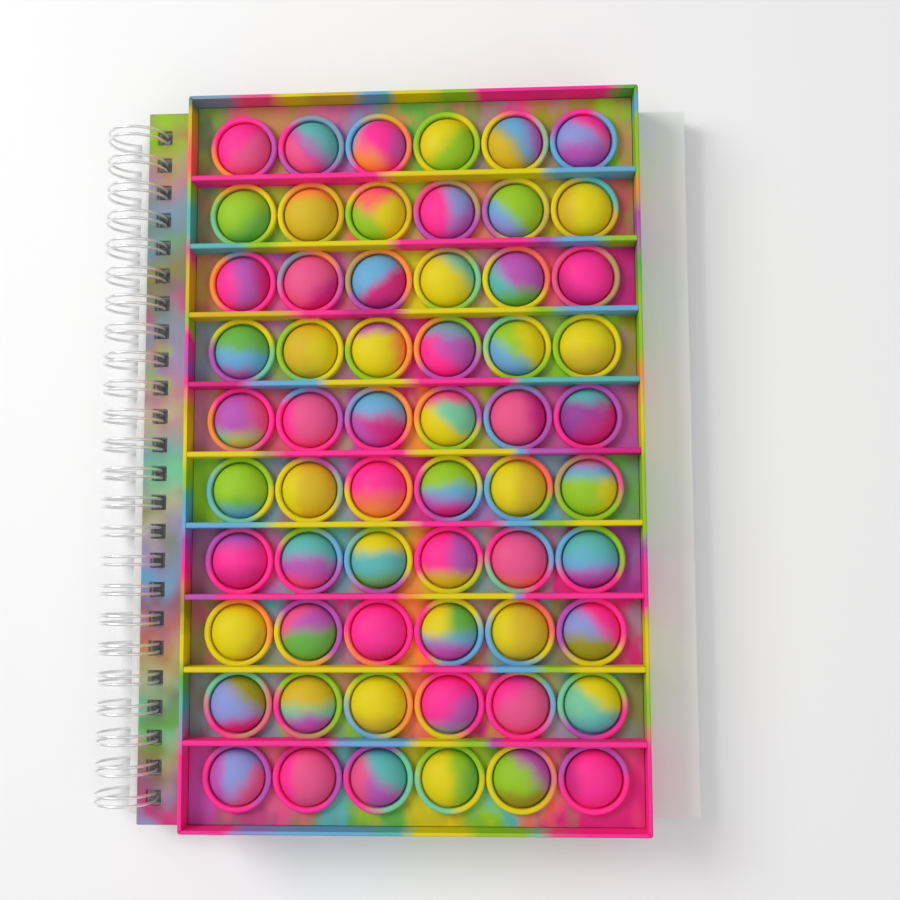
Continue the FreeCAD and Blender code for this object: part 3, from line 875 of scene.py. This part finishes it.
# sheets in each block, and the body that carries it
leafBlocks = {
    "front_leaves": (7, "front_leaves"),
    "middle_leaves": (7, "middle_leaves"),
    "back_leaves": (10, "base"),
}


def buildLeaves():
    random.seed(12)
    material = paperMaterial("leaf_paper", paper["sheen"], paper["shade"])
    for node, (count, body) in leafBlocks.items():
        low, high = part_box(node)
        holeAcross = low.x + paper["holeMargin"]
        thickness = (high.z - low.z) / count
        for number in range(count):
            trim = [random.uniform(0, paper["trim"]) for side in range(4)]
            bottom = low.z + number * thickness + 0.00001
            sheetLow = (low.x + trim[0], low.y + trim[1], bottom)
            sheetHigh = (high.x - trim[2], high.y - trim[3], bottom + thickness * paper["fill"])
            piece = punchedPlate("%s_%d" % (node, number + 1), sheetLow, sheetHigh, holeAcross, material)
            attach(piece, body)
            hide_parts(node)


buildLeaves()

boardMaterial = paperMaterial("back_board", paper["boardSheen"], paper["boardShade"])


def buildBoard():
    low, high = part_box("back_cover")
    piece = punchedPlate("back_board", tuple(low), tuple(high), low.x + paper["holeMargin"], boardMaterial, 0.00025)
    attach(piece, "base")
    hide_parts("back_cover")


buildBoard()

print("stage: wire loops")
wire = {
    "radius": 0.00855,
    "thickness": 0.0009,
    "sides": 12,
    "twin": 0.0023,
    "barBend": 0.0012,
    "seam": 297.5,
    "seamHalf": 12.5,
    "stub": 0.0016,
    "ringSteps": 64,
}


def wireMaterial():
    recipe = Recipe("white_wire")
    spot = recipe.spot("rest")
    cloud = recipe.noise(spot, 300.0, 3.0)
    colour = recipe.mixColour(cloud, (0.86, 0.86, 0.87, 1.0), (0.97, 0.97, 0.98, 1.0))
    normal = recipe.bump(recipe.noise(spot, 1500.0, 2.0), 0.15, 0.00002)
    return recipe.surface(Base_Color=colour, Roughness=cloud * 0.1 + 0.26, Metallic=0.65, Normal=normal,
                          Coat_Weight=0.3)


def wirePath():
    # bar, bend, over the top of the ring, hairpin tip, back over, bend, next bar
    axisX = (wireLow.x + wireHigh.x) / 2
    axisZ = (wireLow.z + wireHigh.z) / 2
    radius = wire["radius"]
    bend = wire["barBend"]
    half = wire["twin"] / 2
    first = math.radians(wire["seam"] - wire["seamHalf"])
    last = math.radians(wire["seam"] + wire["seamHalf"] - 360)

    def onRing(angle, along):
        return Vector((axisX + radius * math.cos(angle), along, axisZ + radius * math.sin(angle)))

    def heading(angle):
        return Vector((math.sin(angle), 0, -math.cos(angle)))

    rear = -heading(first)
    top = (loopCount - 1) / 2 * loopPitch
    path = [onRing(first, top + half + bend + wire["stub"]) + rear * bend]
    steps = wire["ringSteps"]
    for loop in range(loopCount):
        centre = top - loop * loopPitch
        for step in range(7):
            turn = math.pi / 2 * step / 6
            lift = Vector((0, bend * (1 - math.sin(turn)), 0)) + rear * (bend * math.cos(turn))
            path.append(onRing(first, centre + half) + lift)
        for step in range(1, steps + 1):
            path.append(onRing(first + (last - first) * step / steps, centre + half))
        for step in range(1, 10):
            turn = math.pi * step / 10
            tip = heading(last) * (half * math.sin(turn))
            path.append(onRing(last, centre + half * math.cos(turn)) + tip)
        for step in range(steps + 1):
            path.append(onRing(last + (first - last) * step / steps, centre - half))
        for step in range(1, 7):
            turn = math.pi / 2 * step / 6
            lift = Vector((0, -bend * (1 - math.cos(turn)), 0)) + rear * (bend * math.sin(turn))
            path.append(onRing(first, centre - half) + lift)
    path.append(path[-1] + Vector((0, -wire["stub"], 0)))
    return path


def tube(path, radius, sides):
    # round tube along a path, its frame carried from point to point
    points = []
    faces = []
    normal = None
    for index, spot in enumerate(path):
        before = path[max(index - 1, 0)]
        after = path[min(index + 1, len(path) - 1)]
        ahead = (after - before).normalized()
        if normal is None:
            normal = ahead.orthogonal().normalized()
        normal = (normal - ahead * normal.dot(ahead)).normalized()
        side = ahead.cross(normal)
        for step in range(sides):
            angle = 2 * math.pi * step / sides
            points.append(spot + (normal * math.cos(angle) + side * math.sin(angle)) * radius)
        if index:
            for step in range(sides):
                following = (step + 1) % sides
                base = (index - 1) * sides
                faces.append((base + step, base + following, base + sides + following, base + sides + step))
    faces.append(tuple(reversed(range(sides))))
    faces.append(tuple(range(len(points) - sides, len(points))))
    return points, faces


def buildWire():
    points, faces = tube(wirePath(), wire["thickness"] / 2 - 0.000005, wire["sides"])
    piece = makePiece("twin_loops", points, faces, [wireMaterial()], 60)
    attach(piece, "base")
    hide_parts("wire_binding")


buildWire()

print("stage: floor, lights and camera")
studio = {
    "floorTone": (0.93, 0.93, 0.93, 1.0),
    "skyHigh": (1.0, 1.0, 1.0, 1.0),
    "skyLow": (0.2, 0.2, 0.21, 1.0),
    "backdrop": (1.25, 1.25, 1.25, 1.0),
    "sky": 0.62,
    "keyPlace": (-0.62, 0.30, 0.66),
    "keyPower": 5.0,
    "fillPower": 2.0,
}


def buildStudio():
    recipe = Recipe("studio_floor")
    spot = recipe.spot("rest")
    tone = recipe.mixColour(recipe.noise(spot, 4.0), studio["floorTone"], (0.95, 0.95, 0.95, 1.0))
    material = recipe.surface(Base_Color=tone, Roughness=0.9, Specular_IOR_Level=0.1)
    size = 3.0
    points = [(-size, -size, -0.0003), (size, -size, -0.0003), (size, size, -0.0003), (-size, size, -0.0003)]
    ground = makePiece("studio_ground", points, [(0, 1, 2, 3)], [material])
    world = bpy.data.worlds.new("studio_world")
    world.use_nodes = True
    tree = world.node_tree
    direction = tree.nodes.new("ShaderNodeTexCoord")
    parts = tree.nodes.new("ShaderNodeSeparateXYZ")
    tree.links.new(direction.outputs["Generated"], parts.inputs[0])
    ramp = tree.nodes.new("ShaderNodeValToRGB")
    ramp.color_ramp.elements[0].position = 0.1
    ramp.color_ramp.elements[0].color = studio["skyLow"]
    ramp.color_ramp.elements[1].position = 0.85
    ramp.color_ramp.elements[1].color = studio["skyHigh"]
    tree.links.new(parts.outputs["Z"], ramp.inputs[0])
    rays = tree.nodes.new("ShaderNodeLightPath")  # the backdrop past the floor stays pale
    pale = tree.nodes.new("ShaderNodeMix")
    pale.data_type = "RGBA"
    tree.links.new(rays.outputs["Is Camera Ray"], findSocket(pale.inputs, "Factor_Float"))
    tree.links.new(ramp.outputs["Color"], findSocket(pale.inputs, "A_Color"))
    findSocket(pale.inputs, "B_Color").default_value = studio["backdrop"]
    tree.links.new(findSocket(pale.outputs, "Result_Color"), tree.nodes["Background"].inputs["Color"])
    tree.nodes["Background"].inputs["Strength"].default_value = studio["sky"]
    bpy.context.scene.world = world

    def areaLight(name, place, size, power):
        light = bpy.data.lights.new(name, "AREA")
        light.shape = "DISK"
        light.size = size
        light.energy = power
        lamp = bpy.data.objects.new(name, light)
        lamp.location = place
        lamp.rotation_euler = (-Vector(place)).to_track_quat("-Z", "Y").to_euler()
        bpy.context.scene.collection.objects.link(lamp)

    areaLight("key_light", studio["keyPlace"], 0.5, studio["keyPower"])
    areaLight("fill_light", (0.6, -0.5, 0.9), 0.8, studio["fillPower"])


buildStudio()

cameraView = {
    "place": (0.0273, -0.0285, 0.3165),  # from the middle of the rim's top
    "turn": (0.091, 0.053, -0.005),
    "lens": 45.9,
    "sensor": 36.0,
}


def buildCamera():
    data = bpy.data.cameras.new("view_camera")
    data.lens = cameraView["lens"]
    data.sensor_width = cameraView["sensor"]
    data.clip_start = 0.01
    camera = bpy.data.objects.new("view_camera", data)
    camera.location = Vector((trayMiddle, 0, rimTop)) + Vector(cameraView["place"])
    camera.rotation_euler = Euler(cameraView["turn"], "XYZ")
    bpy.context.scene.collection.objects.link(camera)
    bpy.context.scene.camera = camera


buildCamera()
bpy.context.scene.view_settings.view_transform = "Standard"

print("stage: finished")
